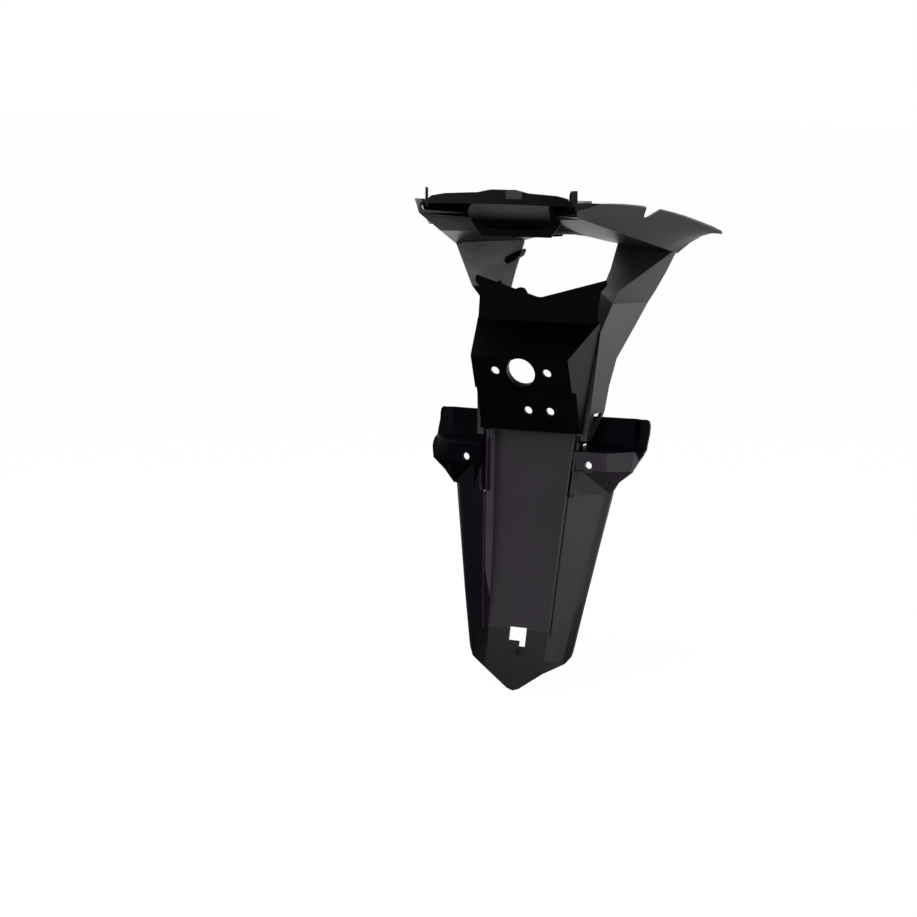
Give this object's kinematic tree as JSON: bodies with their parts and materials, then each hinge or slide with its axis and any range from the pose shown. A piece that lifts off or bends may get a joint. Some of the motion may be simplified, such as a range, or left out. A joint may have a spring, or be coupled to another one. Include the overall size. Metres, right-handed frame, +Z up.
{
  "type": "tail tidy",
  "caption": "Plate bracket and lamp mount for the tail of a motorcycle: open tray, two arms, wedge lamp housing and a pointed mud flap with winged plate pads.",
  "frame": {"origin": "middle of the four tray fixings, on the face that meets the machine", "axes": "+X to the machine's right as seen from behind, +Y forward along the machine, +Z up"},
  "size_m": [0.302, 0.1776, 0.468],
  "materials": {
    "upper_plastic": "satin",
    "flap_plastic": "satin",
    "pad_foam": "matte",
    "steel": "satin"
  },
  "bodies": {
    "root": {"upper_mudguard": "upper_plastic", "lamp_housing": "upper_plastic", "lower_flap": "flap_plastic", "top_pad": "pad_foam", "arm_screw_left": "steel", "arm_screw_right": "steel", "arm_washer_left": "steel", "arm_washer_right": "steel", "tongue_screw_left": "steel", "tongue_screw_right": "steel", "tongue_washer_left": "steel", "tongue_washer_right": "steel", "foot_screw_left": "steel", "foot_screw_right": "steel", "foot_washer_left": "steel", "foot_washer_right": "steel"}
  },
  "joints": []
}
